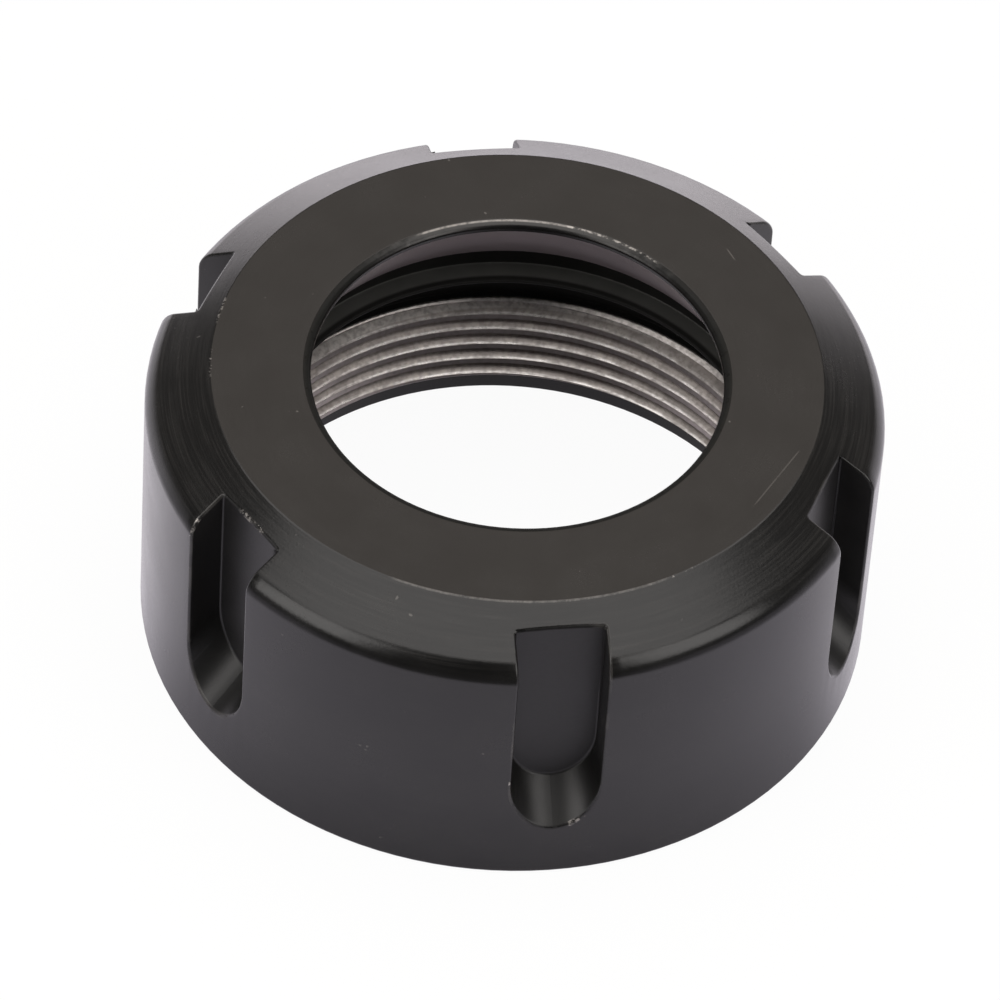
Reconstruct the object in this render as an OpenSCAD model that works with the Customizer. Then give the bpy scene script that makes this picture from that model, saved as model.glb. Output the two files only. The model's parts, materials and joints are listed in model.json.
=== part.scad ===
// Collet nut: a clamping nut turned from one bar of steel and milled with hook-spanner slots.
// It stands on its rear face. Its axis is +Z, and the origin is the centre of that rear face.

/* [Body] */
// Outside diameter
outer_d = 50; // [48:0.5:60]
// Length from the rear face to the front face
nut_length = 22.5; // [22:0.5:30]
// Outside diameter of the flat front face
face_d = 41.3; // [39:0.1:44]
// Slope of the front cone, measured from the front face
front_slope = 30; // [22:1:38]
// Radius of the shoulder between the front cone and the outside
shoulder_r = 1.2; // [0.6:0.1:2]
// Radius of the rear outside edge
rear_edge_r = 0.4; // [0.2:0.1:0.8]

/* [Collet seat] */
// Diameter of the front opening
opening_d = 27.8; // [26:0.1:29]
// Width of the bevel on the opening's front edge
opening_bevel = 0.45; // [0.2:0.05:0.7]
// Slope of that bevel, measured from the front face
opening_bevel_slope = 24; // [15:1:45]
// Height of the straight land behind the bevel
opening_land = 0.45; // [0.2:0.05:1]
// Half angle of the cone that presses on the collet
seat_half_angle = 30; // [28:1:34]
// Diameter of the cone's wide end
seat_d = 33.2; // [32.4:0.1:34]

/* [Extraction lip] */
// Diameter of the groove that the collet's rim snaps into
groove_d = 36; // [35:0.1:37]
// Width of that groove along the axis
groove_w = 2.6; // [2:0.1:3.2]
// Diameter of the lip behind the groove, which pulls the collet out
lip_d = 33.4; // [33:0.1:33.6]
// Thickness of the lip's edge along the axis
lip_t = 0.25; // [0.2:0.05:0.5]
// Slope of the lip's back, measured from square to the axis
lip_back_slope = 45; // [40:1:48]
// How far the lip is turned off centre, so that it hooks the collet's rim on one side
lip_offset = 0.4; // [0.1:0.05:0.6]

/* [Thread] */
// Nominal diameter of the fine metric thread
thread_d = 40; // [38:0.5:42]
// Pitch of the thread
thread_pitch = 1.5; // [1:0.25:1.75]
// Length of the thread along the axis
thread_length = 6.8; // [5:0.1:7.4]
// Slope of the lead bevel on the thread's inner end, measured from square to the axis
thread_lead_slope = 40; // [30:1:45]
// Depth of the plain entry at the rear face
entry_depth = 1.6; // [1:0.1:2.2]
// How much wider the run-out groove above the thread is than the thread
relief_over = 1.2; // [0.8:0.1:1.6]

/* [Spanner slots] */
// Number of slots round the outside
slot_count = 6; // [4:1:8]
// Width of a slot
slot_w = 6; // [5:0.1:7]
// Depth of a slot below the outside diameter
slot_depth = 2.8; // [2:0.1:3.2]
// Height of a slot's lower end above the rear face, at the outside
slot_end_z = 4.6; // [3:0.1:8]
// Slope of a slot's rounded lower end, measured from square to the axis
slot_lean = 40; // [20:1:45]

/* [Hidden] */
$fn = 180;

// Cuts reach this far past the faces that they open
overrun = 1;
// An internal metric thread's minor diameter is this many pitches under the nominal one
minor_pitches = 1.0825;

outer_r = outer_d / 2;
face_r = face_d / 2;
opening_r = opening_d / 2;
seat_r = seat_d / 2;
groove_r = groove_d / 2;
lip_r = lip_d / 2;
minor_r = (thread_d - minor_pitches * thread_pitch) / 2;
entry_r = thread_d / 2;
relief_r = entry_r + relief_over / 2;

// Heights along the axis, from the rear face
shoulder_z = nut_length - (outer_r - face_r) * tan(front_slope);
bevel_z = nut_length - opening_bevel * tan(opening_bevel_slope);
land_z = bevel_z - opening_land;
seat_z = land_z - (seat_r - opening_r) / tan(seat_half_angle);
lip_top_z = seat_z - groove_w;
lip_z = lip_top_z - lip_t;
thread_top_z = entry_depth + thread_length;
thread_lead_z = thread_top_z + (entry_r - minor_r) * tan(thread_lead_slope);

// Waste outside a rounded corner whose two sides leave it at the angles a and b
module corner_waste(corner, a, b, radius) {
  half = (b - a) / 2;
  reach = radius / tan(half);
  middle = corner + radius / sin(half) * [cos(a + half), sin(a + half)];
  difference() {
    polygon([
      corner - overrun * [cos(a + half), sin(a + half)],
      corner + reach * [cos(a), sin(a)],
      middle,
      corner + reach * [cos(b), sin(b)]
    ]);
    translate(middle) circle(r = radius);
  }
}

// Half section of the turned outside: front cone, rounded shoulder, barrel and rear edge
module outside_section() {
  difference() {
    polygon([[0, 0], [outer_r, 0], [outer_r, shoulder_z], [face_r, nut_length], [0, nut_length]]);
    corner_waste([outer_r, shoulder_z], 180 - front_slope, 270, shoulder_r);
    corner_waste([outer_r, 0], 90, 180, rear_edge_r);
  }
}

// Half section of the front hole: bevel, land, collet cone and snap groove
module seat_section() {
  bevel_r = opening_r + opening_bevel;
  polygon([
    [0, nut_length + overrun],
    [bevel_r, nut_length + overrun],
    [bevel_r, nut_length],
    [opening_r, bevel_z],
    [opening_r, land_z],
    [seat_r, seat_z],
    [groove_r, seat_z],
    [groove_r, lip_top_z],
    [0, lip_top_z]
  ]);
}

// Height of the lip's sloping back at a radius
function lip_back_z(r) = lip_z - (r - lip_r) * tan(lip_back_slope);

// Half section of the rear hole: lip's back, run-out groove, bevelled thread at its minor diameter, plain entry
module thread_section() {
  inside_lip_r = lip_r - overrun;
  polygon([
    [0, lip_back_z(inside_lip_r)],
    [inside_lip_r, lip_back_z(inside_lip_r)],
    [relief_r, lip_back_z(relief_r)],
    [relief_r, thread_lead_z],
    [entry_r, thread_lead_z],
    [minor_r, thread_top_z],
    [minor_r, entry_depth + entry_r - minor_r],
    [entry_r, entry_depth],
    [entry_r, -overrun],
    [0, -overrun]
  ]);
}

// The lip's own hole, turned off centre towards -Y
module lip_hole() {
  translate([0, -lip_offset, lip_z - overrun])
    cylinder(r = lip_r, h = lip_t + 2 * overrun);
}

// One slot at -Y: a leaning cutter with a round lower end, kept outside the slot's flat floor
module spanner_slot() {
  floor_y = outer_r - slot_depth;
  reach = 2 * outer_r;
  end_drop = slot_w / 2 / cos(slot_lean);
  intersection() {
    translate([0, -outer_r, slot_end_z + end_drop])
      rotate([90 + slot_lean, 0, 0])
        linear_extrude(height = reach, center = true)
          union() {
            circle(d = slot_w);
            translate([-slot_w / 2, 0]) square([slot_w, reach]);
          }
    translate([-reach / 2, -floor_y - reach, 0])
      cube([reach, reach, nut_length + overrun]);
  }
}

module nut_body() {
  color("#3d3a3a")
    difference() {
      rotate_extrude() outside_section();
      rotate_extrude() seat_section();
      rotate_extrude() thread_section();
      lip_hole();
      for (i = [0 : slot_count - 1])
        rotate([0, 0, i * 360 / slot_count]) spanner_slot();
    }
}

nut_body();
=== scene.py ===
# Collet nut in blackened steel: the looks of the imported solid, in metres and in its own frame.
import json
from math import degrees, hypot, pi, radians, tan

import bmesh
import bpy
from mathutils import Matrix, Vector


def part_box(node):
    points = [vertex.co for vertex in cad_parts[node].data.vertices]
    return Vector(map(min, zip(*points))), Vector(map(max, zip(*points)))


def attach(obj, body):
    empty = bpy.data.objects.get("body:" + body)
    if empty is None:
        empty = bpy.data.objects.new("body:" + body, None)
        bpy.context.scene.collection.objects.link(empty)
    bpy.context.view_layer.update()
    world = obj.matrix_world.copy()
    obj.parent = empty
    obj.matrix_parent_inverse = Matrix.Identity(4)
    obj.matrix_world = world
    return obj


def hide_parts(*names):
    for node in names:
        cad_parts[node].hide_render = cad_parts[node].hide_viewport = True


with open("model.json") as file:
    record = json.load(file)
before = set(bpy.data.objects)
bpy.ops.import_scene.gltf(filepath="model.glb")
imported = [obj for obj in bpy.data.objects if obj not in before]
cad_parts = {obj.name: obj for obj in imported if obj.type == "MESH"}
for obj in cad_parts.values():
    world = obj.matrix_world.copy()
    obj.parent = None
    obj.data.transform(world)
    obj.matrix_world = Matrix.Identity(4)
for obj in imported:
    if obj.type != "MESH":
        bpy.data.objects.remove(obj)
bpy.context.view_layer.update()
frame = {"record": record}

# Collet nut
# One piece of alloy steel, turned from bar on a lathe, with six milled spanner slots and a single-point cut
# thread. It is blackened in a hot oxide bath, and the thread and the collet's seat are bare metal.
mm = 0.001
mounts = {mount["name"]: mount for mount in frame["record"]["mounts"]}
body_low, body_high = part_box("nut_body")
nut_length = body_high.z
outer_r = (body_high.x - body_low.x) / 2
face_r = 20.65 * mm
front_slope = radians(30)
opening_r = mounts["tool_opening"]["dims"]["r_mm"] * mm
opening_bevel = 0.45 * mm
opening_bevel_slope = radians(24)
opening_land = 0.45 * mm
seat_half_angle = radians(30)
seat_r = 16.6 * mm
groove_r = 18 * mm
groove_w = 2.6 * mm
lip_r = 16.7 * mm
lip_t = 0.25 * mm
lip_back_slope = radians(45)
lip_offset = 0.4 * mm
thread_r = 20 * mm
minor_r = mounts["spindle_thread"]["dims"]["r_mm"] * mm
thread_length = 6.8 * mm
thread_lead_slope = radians(40)
thread_run_in_slope = radians(25)
entry_depth = 1.6 * mm
relief_r = 20.6 * mm

bevel_r = opening_r + opening_bevel
shoulder_z = nut_length - (outer_r - face_r) * tan(front_slope)
bevel_z = nut_length - opening_bevel * tan(opening_bevel_slope)
land_z = bevel_z - opening_land
seat_z = land_z - (seat_r - opening_r) / tan(seat_half_angle)
lip_top_z = seat_z - groove_w
lip_z = lip_top_z - lip_t
relief_top_z = lip_z - (relief_r - lip_r) * tan(lip_back_slope)
thread_top_z = entry_depth + thread_length
thread_lead_z = thread_top_z + (thread_r - minor_r) * tan(thread_lead_slope)
entry_top_z = entry_depth + (thread_r - minor_r) * tan(thread_run_in_slope)

# The turned blank is a half section spun round the axis. Each of its corners has a radius, a height and
# how far its rounding reaches along both sides.
fine_edge = 0.08 * mm
rear_edge = 0.4 * mm
shoulder_round = 1.05 * mm
lip_nose = 0.11 * mm
mouth_round = 0.24 * mm
corners = [
    (thread_r, 0, fine_edge),
    (outer_r, 0, rear_edge),
    (outer_r, shoulder_z, shoulder_round),
    (face_r, nut_length, fine_edge),
    (bevel_r, nut_length, mouth_round),
    (opening_r, bevel_z, mouth_round),
    (opening_r, land_z, fine_edge),
    (seat_r, seat_z, fine_edge),
    (groove_r, seat_z, fine_edge),
    (groove_r, lip_top_z, fine_edge),
    (lip_r, lip_top_z, lip_nose),
    (lip_r, lip_z, lip_nose),
    (relief_r, relief_top_z, fine_edge),
    (relief_r, thread_lead_z, fine_edge),
    (thread_r, thread_lead_z, fine_edge),
    (minor_r, thread_top_z, fine_edge),
    (minor_r, entry_top_z, fine_edge),
    (thread_r, entry_depth, fine_edge),
]
arc_segments = 6
turn_steps = 120

blank = bmesh.new()
section = [blank.verts.new((r, 0, z)) for r, z, _ in corners]
blank.faces.new(section)
for corner, (_, _, reach) in zip(section, corners):
    bmesh.ops.bevel(blank, geom=[corner], offset=reach, offset_type="ABSOLUTE", affect="VERTICES",
                    segments=arc_segments, profile=0.5, material=-1)
bmesh.ops.delete(blank, geom=blank.faces[:], context="FACES_ONLY")
bmesh.ops.spin(blank, geom=blank.verts[:] + blank.edges[:], cent=(0, 0, 0), axis=(0, 0, 1),
               angle=2 * pi, steps=turn_steps, use_merge=True)
bmesh.ops.recalc_face_normals(blank, faces=blank.faces[:])

# The lip's edge is turned off centre
lip_reach = lip_r + lip_nose
on_lip = [v for v in blank.verts if hypot(v.co.x, v.co.y) < lip_reach + fine_edge / 2
          and lip_z - lip_nose - fine_edge < v.co.z < lip_top_z + fine_edge]
bmesh.ops.translate(blank, vec=(0, -lip_offset, 0), verts=on_lip)

# Faces carry the finish that they get, as the number of their material
OXIDE, SLOT, MOUTH, RECESS, SEAT, THREAD = range(6)
finish_names = ("black_oxide", "milled_black_oxide", "filed_mouth", "dull_black_oxide", "ground_seat",
                "bright_thread")
finishes = [bpy.data.materials.new(name) for name in finish_names]


def as_object(mesh_edit, name, materials=()):
    """Puts an edited mesh into the scene as a new object."""
    mesh = bpy.data.meshes.new(name)
    mesh_edit.to_mesh(mesh)
    mesh_edit.free()
    for material in materials:
        mesh.materials.append(material)
    thing = bpy.data.objects.new(name, mesh)
    bpy.context.scene.collection.objects.link(thing)
    return thing


nut = as_object(blank, "collet_nut", finishes)


def cut(cutter_edit, finish):
    """Takes a cutter's shape out of the nut and gives the faces that it leaves a finish."""
    bmesh.ops.recalc_face_normals(cutter_edit, faces=cutter_edit.faces[:])
    for face in cutter_edit.faces:
        face.material_index = finish
    cutter = as_object(cutter_edit, "cutter", finishes)
    tool = nut.modifiers.new("cut", "BOOLEAN")
    tool.object = cutter
    tool.operation = "DIFFERENCE"
    tool.solver = "EXACT"
    done = bpy.data.meshes.new_from_object(nut.evaluated_get(bpy.context.evaluated_depsgraph_get()))
    nut.modifiers.remove(tool)
    nut.data = done
    bpy.data.objects.remove(cutter)


# The slots are milled with a flat floor, and each runs out at its lower end in a leaning half round
slot_count = 6
slot_w = 6 * mm
slot_depth = 2.8 * mm
slot_end_z = 4.6 * mm
slot_lean = radians(40)
slot_corner = 0.15 * mm
slot_corner_segments = 3
slot_reach = 2 * outer_r
slot_floor_r = outer_r - slot_depth
slot_arc_segments = 16
just_under_half = 0.4999

slot = bmesh.new()
bmesh.ops.create_cube(slot, size=1)
bmesh.ops.scale(slot, vec=(slot_w, slot_reach, slot_reach), verts=slot.verts)
bmesh.ops.translate(slot, vec=(0, 0, slot_reach / 2), verts=slot.verts)
lower_edges = [e for e in slot.edges if all(v.co.z < slot_reach / 2 for v in e.verts)
               and abs(e.verts[0].co.y - e.verts[1].co.y) > slot_reach / 2]
bmesh.ops.bevel(slot, geom=lower_edges, offset=slot_w * just_under_half, offset_type="OFFSET", affect="EDGES",
                segments=slot_arc_segments, profile=0.5, material=-1)
bmesh.ops.rotate(slot, cent=(0, 0, 0), matrix=Matrix.Rotation(slot_lean, 3, "X"), verts=slot.verts)
bmesh.ops.translate(slot, vec=(0, -outer_r, slot_end_z), verts=slot.verts)
floor_cut = bmesh.ops.bisect_plane(slot, geom=slot.verts[:] + slot.edges[:] + slot.faces[:],
                                   plane_co=(0, -slot_floor_r, 0), plane_no=(0, 1, 0), clear_outer=True)
floor_edges = [part for part in floor_cut["geom_cut"] if isinstance(part, bmesh.types.BMEdge)]
bmesh.ops.contextual_create(slot, geom=floor_edges)
bmesh.ops.bevel(slot, geom=floor_edges, offset=slot_corner, offset_type="OFFSET", affect="EDGES",
                segments=slot_corner_segments, profile=0.5, material=-1)
bmesh.ops.spin(slot, geom=slot.verts[:] + slot.edges[:] + slot.faces[:], cent=(0, 0, 0), axis=(0, 0, 1),
               angle=2 * pi * (slot_count - 1) / slot_count, steps=slot_count - 1, use_duplicate=True)
cut(slot, SLOT)

# The thread is a 60 degree helix that starts below the entry and ends in the run-out groove
thread_pitch = 1.5 * mm
thread_half_angle = radians(30)
thread_root_flat = thread_pitch / 8
thread_root_r = 19.96 * mm
thread_clear = 0.1 * mm
thread_drop = 1.5 * thread_pitch
spare_turns = 2
thread_turns = round(thread_length / thread_pitch) + spare_turns

helix = bmesh.new()
half_base = thread_root_flat / 2 + (thread_root_r - minor_r + thread_clear) * tan(thread_half_angle)
tooth = [helix.verts.new((r, 0, z)) for r, z in (
    (minor_r - thread_clear, -half_base),
    (thread_root_r, -thread_root_flat / 2),
    (thread_root_r, thread_root_flat / 2),
    (minor_r - thread_clear, half_base),
)]
helix.faces.new(tooth)
bmesh.ops.translate(helix, vec=(0, 0, entry_depth - thread_drop), verts=helix.verts)
bmesh.ops.spin(helix, geom=helix.verts[:] + helix.edges[:] + helix.faces[:], cent=(0, 0, 0), axis=(0, 0, 1),
               dvec=(0, 0, thread_pitch / turn_steps), angle=2 * pi * thread_turns,
               steps=turn_steps * thread_turns)
cut(helix, THREAD)

# The slots' rims are tumbled to a small radius and marked as worn, and each zone of the hole gets its finish
rim_r = 0.2 * mm
rim_segments = 3
edit = bmesh.new()
edit.from_mesh(nut.data)
wear = edit.faces.layers.float.new("wear")
rims = [e for e in edit.edges if {f.material_index for f in e.link_faces} == {OXIDE, SLOT}]
rounded = bmesh.ops.bevel(edit, geom=rims, offset=rim_r, offset_type="OFFSET", affect="EDGES",
                          segments=rim_segments, profile=0.5, material=-1)
for face in rounded["faces"]:
    face[wear] = 1
zones = [
    (RECESS, (lip_r - 2 * lip_offset, slot_floor_r), (thread_lead_z - fine_edge, seat_z)),
    (THREAD, (minor_r - fine_edge, thread_r + fine_edge), (entry_depth, thread_lead_z + fine_edge)),
    (MOUTH, (0, bevel_r + fine_edge), (bevel_z - fine_edge, nut_length + fine_edge)),
    (SEAT, (opening_r, seat_r), (seat_z, land_z)),
]
for face in edit.faces:
    face.smooth = True
    middle = face.calc_center_median()
    for finish, (inner_r, zone_r), (zone_low, zone_high) in zones:
        if inner_r < hypot(middle.x, middle.y) < zone_r and zone_low < middle.z < zone_high:
            face.material_index = finish
edit.to_mesh(nut.data)
edit.free()
sharp_angle = radians(35)
nut.data.set_sharp_from_angle(angle=sharp_angle)
weights = nut.modifiers.new("flat faces stay flat", "WEIGHTED_NORMAL")
weights.keep_sharp = True


class Socket:
    """An output in a node tree. Arithmetic on it adds Math nodes, and node() adds any other node."""

    def __init__(self, tree, output=None):
        self.tree = tree
        self.output = output

    def node(self, kind, settings=None, inputs=None, output=0):
        made = self.tree.nodes.new(kind)
        for name, value in (settings or {}).items():
            setattr(made, name, value)
        for name, value in (inputs or {}).items():
            self.feed(made.inputs[name], value)
        return Socket(self.tree, made.outputs[output])

    def feed(self, socket, value):
        if isinstance(value, Socket):
            self.tree.links.new(value.output, socket)
        else:
            socket.default_value = value

    def math(self, operation, *values):
        return self.node("ShaderNodeMath", {"operation": operation}, dict(enumerate(values)))

    def __add__(self, other):
        return self.math("ADD", self, other)

    def __sub__(self, other):
        return self.math("SUBTRACT", self, other)

    def __rsub__(self, other):
        return self.math("SUBTRACT", other, self)

    def __mul__(self, other):
        return self.math("MULTIPLY", self, other)

    def __truediv__(self, other):
        return self.math("DIVIDE", self, other)

    def __pow__(self, other):
        return self.math("POWER", self, other)

    __radd__ = __add__
    __rmul__ = __mul__

    def step(self, low, high, at_low=0, at_high=1):
        """Goes smoothly from at_low to at_high as the value goes from low to high."""
        inputs = {"Value": self, "From Min": low, "From Max": high, "To Min": at_low, "To Max": at_high}
        return self.node("ShaderNodeMapRange", {"interpolation_type": "SMOOTHSTEP"}, inputs)

    def spread(self, amount):
        """Turns a value from 0 to 1 into one that lies evenly about 0."""
        return (self - 0.5) * amount


def mix_colour(share, first, second):
    return share.node("ShaderNodeMix", {"data_type": "RGBA"}, {0: share, 6: first, 7: second}, 2)


def surface(material):
    """Opens a material: its shader, the place on the object, and x, y, z and radius in millimetres."""
    material.use_nodes = True
    tree = material.node_tree
    start = Socket(tree)
    place = start.node("ShaderNodeTexCoord", output="Object")
    x, y, z = (place.node("ShaderNodeSeparateXYZ", inputs={0: place}, output=i) / mm for i in range(3))
    radius = (x * x + y * y) ** 0.5
    return tree.nodes["Principled BSDF"], start, place, x, y, z, radius


def noise(place, scale, detail=2, roughness=0.5):
    inputs = {"Vector": place, "Scale": scale, "Detail": detail, "Roughness": roughness}
    return place.node("ShaderNodeTexNoise", {}, inputs, "Fac")


def round_the_axis(start, x, y, z, radius, turn_scale, rise_scale):
    """A place for noise that is drawn out into lines round the axis."""
    inputs = {0: x / radius * turn_scale, 1: y / radius * turn_scale, 2: z * rise_scale}
    return start.node("ShaderNodeCombineXYZ", inputs=inputs)


def degrees_round(start, x, y):
    return start.math("ARCTAN2", y, x) * degrees(1)


# Wear bares this steel on edges, in burrs and in scratches
worn_steel = (0.5, 0.47, 0.44, 1)
# Burrs on the slots' rims: the place, and how far each reaches, in millimetres
burr_spots = (
    ((1.9, -24.9, 5.0), 1.1),
    ((-3.25, -24.8, 11.05), 0.2),
    ((-3.2, -24.8, 9.2), 0.2),
    ((-22.7, -9.6, 19.6), 1.0),
    ((-19.6, -11.4, 21.4), 1.6),
)
# Worn arcs of two edges: first and last angle, where the speckle starts and is full, and how bare it is
face_rim_wear_and_highlight = (
    # The first arc, on the near side, is partly a painted highlight along the front face's edge.
    (-122, -68, 0.2, 0.7, 0.2),
    (154, 163, 0.5, 0.62, 0.4),
    (168, 177, 0.5, 0.62, 0.4),
    (-70, -60, 0.55, 0.65, 0.4),
)
mouth_rim_wear = (
    (66, 112, 0.2, 0.6, 0.35),
    (40, 70, 0.45, 0.6, 0.45),
)


def spot(place, point, reach):
    """1 near a point, given in millimetres, and 0 further away than its reach."""
    core = 0.6
    distance = place.node("ShaderNodeVectorMath", {"operation": "DISTANCE"},
                          {0: place, 1: Vector(point) * mm}, "Value")
    return distance.step(core * reach * mm, reach * mm, 1, 0)


def arc(angle, first, last):
    """1 between two angles round the axis, in degrees, and 0 elsewhere."""
    fade = 3
    return angle.step(first, first + fade) * angle.step(last - fade, last, 1, 0)


def worn_rim(start, radius, rim, angle, speckle, arcs):
    """How bare a round rim is along its worn arcs."""
    full, none = 0.03, 0.12
    on_rim = start.math("ABSOLUTE", radius - rim / mm).step(full, none, 1, 0)
    return on_rim * sum(arc(angle, first, last) * speckle.step(low, high) * share
                        for first, last, low, high, share in arcs)


def scratch(x, y, first, last):
    """1 along a thin straight scratch on the front face, between two places in millimetres."""
    fade = 0.5
    full_square, none_square = 0.001, 0.004
    along = Vector(last) - Vector(first)
    length = along.length
    along.normalize()
    reach = (x - first[0]) * along.x + (y - first[1]) * along.y
    aside = (x - first[0]) * along.y - (y - first[1]) * along.x
    ends = reach.step(0, fade) * reach.step(length - fade, length, 1, 0)
    return (aside * aside).step(full_square, none_square, 1, 0) * ends


def worn_edges(start, place, x, y, z, radius):
    """How bare the steel is: burrs on the slots' rims, the worn rims of the front face, and scratches."""
    speckle = noise(place, 2600, 3, 0.7)
    stretch = noise(place, 330, 2)
    angle = degrees_round(start, x, y)
    front_z = nut_length / mm
    on_front = z.step(front_z - 0.3, front_z - 0.2)
    rim = start.node("ShaderNodeAttribute", {"attribute_name": "wear"}, output="Fac")

    burrs = 0
    for point, reach in burr_spots:
        burrs = start.math("MAXIMUM", burrs, spot(place, point, reach))
    rim_share = rim * (burrs * speckle.step(0.48, 0.6) * 0.6 + stretch.step(0.45, 0.65) * 0.06)

    face_share = worn_rim(start, radius, face_r, angle, speckle, face_rim_wear_and_highlight)
    mouth_share = worn_rim(start, radius, bevel_r, angle, speckle, mouth_rim_wear)
    long_scratch = scratch(x, y, (13.7, -13.8), (17.9, -8.6)) * stretch.step(0.4, 0.6) * 0.08
    short_scratch = scratch(x, y, (15.7, 10.5), (16.2, 9.1)) * 0.12
    specks = noise(place, 1500, 1).step(0.79, 0.83) * 0.15
    return rim_share + specks + on_front * (face_share + mouth_share + long_scratch + short_scratch)


def blacken(material, roughness, line_depth):
    """Hot black oxide: almost black and satin, with turning lines, cloudy patches and worn edges."""
    line_scale = 8
    black = (0.0035, 0.0033, 0.0031, 1)
    grey = (0.0245, 0.0233, 0.0217, 1)
    shader, start, place, x, y, z, radius = surface(material)
    clouds = noise(place, 260, 3)
    grain = noise(place, 5200, 2, 0.7)
    around = round_the_axis(start, x, y, z, radius, 4, line_scale)
    line_inputs = {"Vector": around, "W": radius * line_scale, "Scale": 1, "Detail": 2}
    lines = start.node("ShaderNodeTexNoise", {"noise_dimensions": "4D"}, line_inputs, "Fac")
    past_face = radius.step(face_r / mm - 0.2, face_r / mm + 0.2)
    on_cone = past_face * z.step(shoulder_z / mm - 0.3, shoulder_z / mm + 0.3)
    lines = (lines - 0.5) * (0.2 + on_cone) * line_depth
    bare = worn_edges(start, place, x, y, z, radius)
    tone = clouds.step(0.3, 0.7) * 0.13 + lines * 1.4 + 0.035
    oxide = mix_colour(tone, black, grey)
    gloss = roughness + clouds.spread(0.1) + grain.spread(0.12) + lines * 0.04 + bare * 0.1
    bump_inputs = {"Strength": 0.25, "Distance": 0.02 * mm, "Height": grain + lines * 0.5}
    start.feed(shader.inputs["Base Color"], mix_colour(bare, oxide, worn_steel))
    start.feed(shader.inputs["Metallic"], bare)
    start.feed(shader.inputs["Roughness"], gloss)
    start.feed(shader.inputs["Normal"], start.node("ShaderNodeBump", {}, bump_inputs))
    shader.inputs["IOR"].default_value = 1.47


def filed_mouth(material):
    """The opening's bevel: filed by hand and blackened, with a painted reflection on the far side as a paler,
    metallic sheen.
    """
    dark_low = (0.006, 0.006, 0.0055, 1)
    dark_high = (0.014, 0.014, 0.013, 1)
    painted_sheen_colour = (0.046, 0.045, 0.044, 1)
    shader, start, place, x, y, z, radius = surface(material)
    ragged = noise(place, 1500, 3, 0.7)
    angle = degrees_round(start, x, y) + ragged.spread(40)
    # A painted reflection: the far side of the bevel is made paler and metallic.
    sheen = angle.step(30, 60) * angle.step(105, 135, 1, 0)
    bare = worn_edges(start, place, x, y, z, radius)
    painted_sheen = mix_colour(sheen, mix_colour(ragged, dark_low, dark_high), painted_sheen_colour)
    start.feed(shader.inputs["Base Color"], mix_colour(bare, painted_sheen, worn_steel))
    start.feed(shader.inputs["Metallic"], start.math("MAXIMUM", sheen, bare))
    start.feed(shader.inputs["Roughness"], 0.3 + ragged.spread(0.2))
    shader.inputs["IOR"].default_value = 1.2


def matt_recess(material):
    """The grooves behind the seat: matt black, with a grey band on the lip's top that is a painted highlight.
    """
    dark_low = (0.008, 0.0079, 0.0074, 1)
    dark_high = (0.018, 0.0177, 0.0167, 1)
    painted_lip_sheen_low = (0.05, 0.05, 0.047, 1)
    painted_lip_sheen_high = (0.085, 0.085, 0.08, 1)
    shader, start, place, x, y, z, _ = surface(material)
    patches = noise(place, 400, 3)
    off_centre = y + lip_offset / mm
    lip_radius = (x * x + off_centre * off_centre) ** 0.5
    height = z - lip_top_z / mm
    on_top = (height * height).step(0.002, 0.01, 1, 0)
    # A painted highlight: a grey band on the lip's top, outward of its nose.
    painted_sheen = on_top * lip_radius.step(lip_r / mm + 0.3, lip_r / mm + 0.6)
    dark = mix_colour(patches, dark_low, dark_high)
    painted_lip_sheen = mix_colour(patches, painted_lip_sheen_low, painted_lip_sheen_high)
    start.feed(shader.inputs["Base Color"], mix_colour(painted_sheen, dark, painted_lip_sheen))
    start.feed(shader.inputs["Roughness"], 0.6 + patches.spread(0.2))
    shader.inputs["IOR"].default_value = 1.2


def ground_seat(material):
    """The collet's seat, ground after blackening: grey, in faint patches."""
    grey_low = (0.27, 0.23, 0.234, 1)
    grey_high = (0.33, 0.283, 0.287, 1)
    shader, start, place, *_ = surface(material)
    patches = noise(place, 500, 3)
    start.feed(shader.inputs["Base Color"], mix_colour(patches, grey_low, grey_high))
    start.feed(shader.inputs["Roughness"], 0.45 + patches.spread(0.1))
    shader.inputs["Metallic"].default_value = 1


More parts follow.
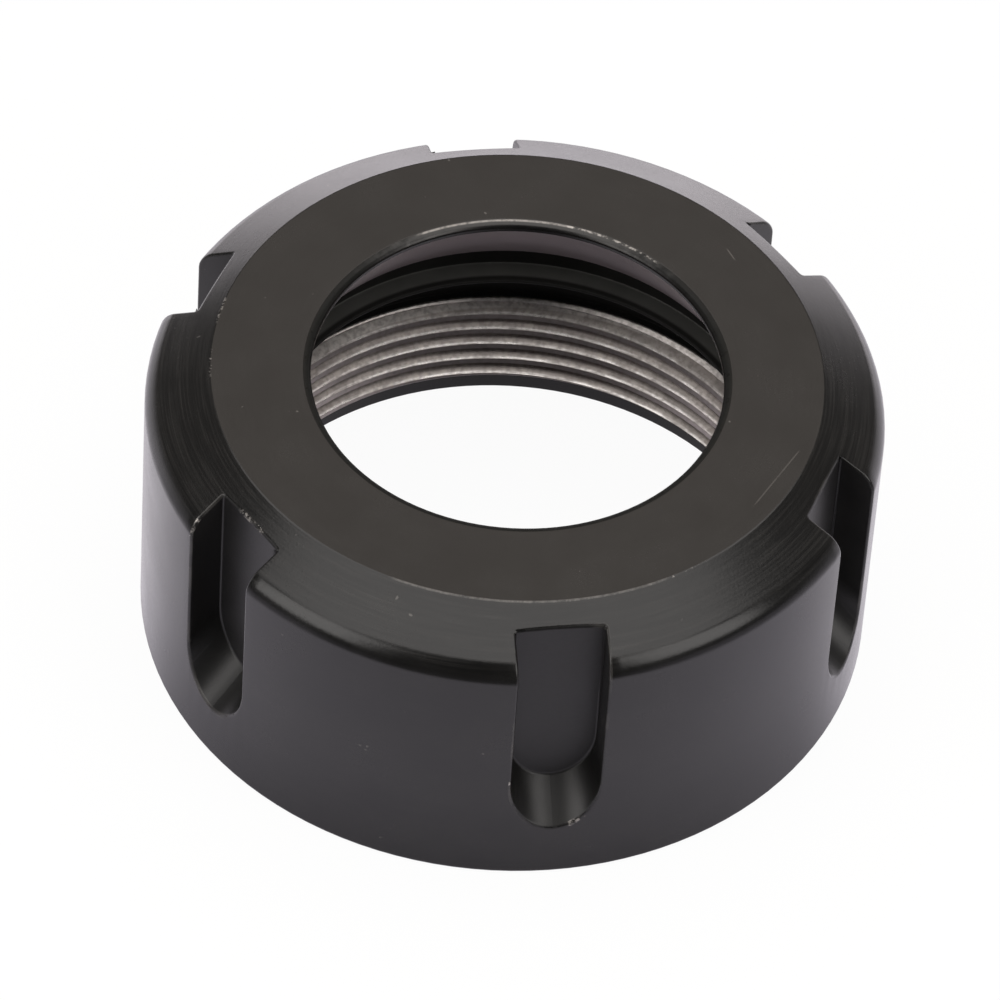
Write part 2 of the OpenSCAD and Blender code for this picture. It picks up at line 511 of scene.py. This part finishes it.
def bare_steel(material):
    """Steel left bright by the threading tool and speckled, with painted shade on crests and roots, glossier
    painted highlights along crest edges, and a painted highlight on the top bevel.
    """
    # Painted shade: the crests and roots are darkened towards this colour.
    crest_and_root_shade = (0.3, 0.27, 0.255, 1)
    steel_low = (0.34, 0.312, 0.295, 1)
    steel_high = (0.48, 0.44, 0.41, 1)
    # Colours of the painted highlights.
    painted_highlight_low = (0.78, 0.76, 0.74, 1)
    painted_highlight_high = (0.98, 0.95, 0.92, 1)
    dull = (0.22, 0.2, 0.187, 1)
    grain_scale = 9
    thread_depth = (thread_root_r - minor_r) / mm
    lead_start = thread_top_z / mm
    shader, start, place, x, y, z, radius = surface(material)
    patches = noise(place, 420, 3)
    grain = noise(round_the_axis(start, x, y, z, radius, grain_scale, grain_scale), 1, 3, 0.7)
    speckle = noise(place, 2800, 2)
    rise = radius - minor_r / mm
    # flank is 0 on the crests and 0.45 in the roots, where the painted shade lies.
    flank = rise.step(0.01, 0.1) * rise.step(0.1, thread_depth, 1, 0.45)
    # Painted highlights: a line along each crest's edge, and the bevel above the thread made paler.
    painted_glint = rise.step(0, 0.04) * rise.step(0.08, 0.25, 1, 0) * grain.step(0.38, 0.6, 0.3, 1)
    painted_lead_highlight = z.step(lead_start - 0.02, lead_start + 0.05, 0, 0.35)
    steel = mix_colour(patches.step(0.3, 0.7), steel_low, steel_high)
    steel = mix_colour(flank, crest_and_root_shade, steel)
    bright = mix_colour(patches, painted_highlight_low, painted_highlight_high)
    # worn is the steel with the painted highlights mixed in.
    worn = mix_colour(start.math("MAXIMUM", painted_glint, painted_lead_highlight), steel, bright)
    clean = start.math("MAXIMUM", speckle.step(0.3, 0.65, 0.4, 1), painted_glint)
    bump_inputs = {"Strength": 0.06, "Distance": 0.03 * mm, "Height": speckle}
    start.feed(shader.inputs["Base Color"], mix_colour(clean, dull, worn))
    start.feed(shader.inputs["Roughness"], 0.4 + grain.spread(0.2) - painted_glint * 0.15)
    start.feed(shader.inputs["Normal"], start.node("ShaderNodeBump", {}, bump_inputs))
    shader.inputs["Metallic"].default_value = 1


turned_roughness = 0.24
milled_roughness = 0.4
blacken(finishes[OXIDE], turned_roughness, line_depth=1)
blacken(finishes[SLOT], milled_roughness, line_depth=0)
filed_mouth(finishes[MOUTH])
matt_recess(finishes[RECESS])
ground_seat(finishes[SEAT])
bare_steel(finishes[THREAD])

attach(nut, "root")
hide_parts("nut_body")

# Table
# A round white table top, which keeps a faint shadow of the nut. What shiny metal sees of it carries painted
# shade and light: a painted shadow, dimmer close to the nut and in its hole, dark in front, where the lit
# part of the table ends, and brighter behind.
table_r = 0.1
table_gap = 0.02 * mm
table_segments = 96
table_fade = 0.03
table_glow = 0.95
table_grey = (0.9, 0.9, 0.9, 1)
table_roughness = 0.9
full_white = (1, 1, 1, 1)
unlit = (0, 0, 0, 1)
front_white = (0.9, 0.85, 0.94, 1)
back_white = (1.18, 1.12, 1.2, 1)
# Distances on the table, in millimetres
lit_front = 45
lit_fade = 15
hole_shade = (17, 19)
near_shade = (19, 34)
camera_turn = radians(-10.3)
away = Matrix.Rotation(camera_turn, 3, "Z") @ Vector((0, 1, 0))

table = bmesh.new()
bmesh.ops.create_circle(table, cap_ends=True, segments=table_segments, radius=table_r)
bmesh.ops.translate(table, vec=(0, 0, -table_gap), verts=table.verts)
white_table = bpy.data.materials.new("white_table")
floor = as_object(table, "floor", [white_table])
paint, start, _, x, y, _, radius = surface(white_table)
paint.inputs["Base Color"].default_value = table_grey
paint.inputs["Roughness"].default_value = table_roughness
camera_ray = start.node("ShaderNodeLightPath", output="Is Camera Ray")
glossy_ray = start.node("ShaderNodeLightPath", output="Is Glossy Ray")
depth = x * away.x + y * away.y
across = x * away.y - y * away.x
# Painted shadow that only glossy rays see: darker in the hole and close to the nut, dark in front past the
# lit part.
hole_painted_shadow = radius.step(*hole_shade, (across * across).step(10, 110, 0.1, 0.8), 0.4)
near = radius.step(*near_shade, hole_painted_shadow, 1)
near = near + (1 - near) * radius.step(23, 25) * depth.step(-14, -4)
front_painted_dark = (depth / radius).step(-0.95, -0.6, 0.9, 0.45) * depth.step(0, 20, 1, 0)
lit = near * (1 - radius.step(lit_front, lit_front + lit_fade) * front_painted_dark)
# Painted light: to glossy rays the table looks brighter behind the nut than in front.
mirrored_painted_shade = mix_colour(lit, unlit, mix_colour(depth.step(-15, 5), front_white, back_white))
glow = start.node("ShaderNodeEmission", inputs={"Color": mix_colour(camera_ray, mirrored_painted_shade, full_white)})
rim = radius.step((table_r - table_fade) / mm, table_r / mm, table_glow, 1)
shown = start.node("ShaderNodeMixShader", inputs={0: camera_ray * rim + glossy_ray, 2: glow})
start.tree.links.new(paint.outputs[0], shown.output.node.inputs[1])
start.tree.links.new(shown.output, start.tree.nodes["Material Output"].inputs["Surface"])

# Studio light
# Surroundings that are bright along the horizon behind the nut and dark on the camera's side, and four
# softboxes: a large one overhead, a warmer one behind, which the front face mirrors, and one on each side.
horizon_side = (1.1, 1.05, 1.1, 1)
horizon_back = (2.5, 2.35, 2.45, 1)
upper_room = (0.22, 0.21, 0.2, 1)
camera_side = (0.08, 0.08, 0.08, 1)
neutral = (1, 0.97, 0.95)
warm = (1, 0.88, 0.78)
world = bpy.data.worlds.new("surroundings")
bpy.context.scene.world = world
world.use_nodes = True
start = Socket(world.node_tree)
direction = start.node("ShaderNodeTexCoord", output="Generated")
height = start.node("ShaderNodeSeparateXYZ", inputs={0: direction}, output=2)
behind = start.node("ShaderNodeVectorMath", {"operation": "DOT_PRODUCT"}, {0: direction, 1: away}, "Value")
horizon = mix_colour(behind.step(0.65, 0.92), horizon_side, horizon_back)
backdrop = mix_colour(height.step(-0.15, 0.25), horizon, upper_room)
room = mix_colour(behind.step(0, 0.35), camera_side, backdrop)
camera_ray = start.node("ShaderNodeLightPath", output="Is Camera Ray")
start.feed(world.node_tree.nodes["Background"].inputs["Color"], mix_colour(camera_ray, room, full_white))

studio_turn = Matrix.Rotation(camera_turn, 4, "Z")


def softbox(name, position, size, brightness, colour):
    """An area lamp that faces the nut. brightness is how bright its surface looks, where 1 is white."""
    lamp = bpy.data.lights.new(name, "AREA")
    lamp.shape = "RECTANGLE"
    lamp.size, lamp.size_y = size
    lamp.energy = brightness * pi * size[0] * size[1]
    lamp.color = colour
    box = bpy.data.objects.new(name, lamp)
    turned = studio_turn @ Vector(position)
    box.matrix_world = Matrix.Translation(turned) @ turned.to_track_quat("Z", "Y").to_matrix().to_4x4()
    box.visible_camera = False
    bpy.context.scene.collection.objects.link(box)


softbox("top_softbox", (0, -0.01, 0.8), (1.3, 0.98), 2.0, neutral)
softbox("back_softbox", (0, 0.62, 0.67), (0.7, 0.5), 0.8, warm)
softbox("left_softbox", (-0.58, -0.42, 0.33), (0.5, 0.57), 2.9, neutral)
softbox("right_softbox", (0.58, -0.42, 0.33), (0.5, 0.57), 2.7, neutral)

# Camera
# A long lens from the front and a little to the left, looking down on the nut.
camera_tilt = radians(90 - 47.34)
camera_roll = radians(4.02)
camera_distance = 544.5 * mm
camera_lens = 288
aim = Vector((-0.83, -1.24, 11.25)) * mm
camera = bpy.data.objects.new("camera", bpy.data.cameras.new("camera"))
camera.data.lens = camera_lens
camera.matrix_world = (Matrix.Translation(aim) @ studio_turn @ Matrix.Rotation(camera_tilt, 4, "X")
                       @ Matrix.Translation((0, 0, camera_distance)) @ Matrix.Rotation(camera_roll, 4, "Z"))
bpy.context.scene.collection.objects.link(camera)
bpy.context.scene.camera = camera
bpy.context.scene.view_settings.view_transform = "Standard"
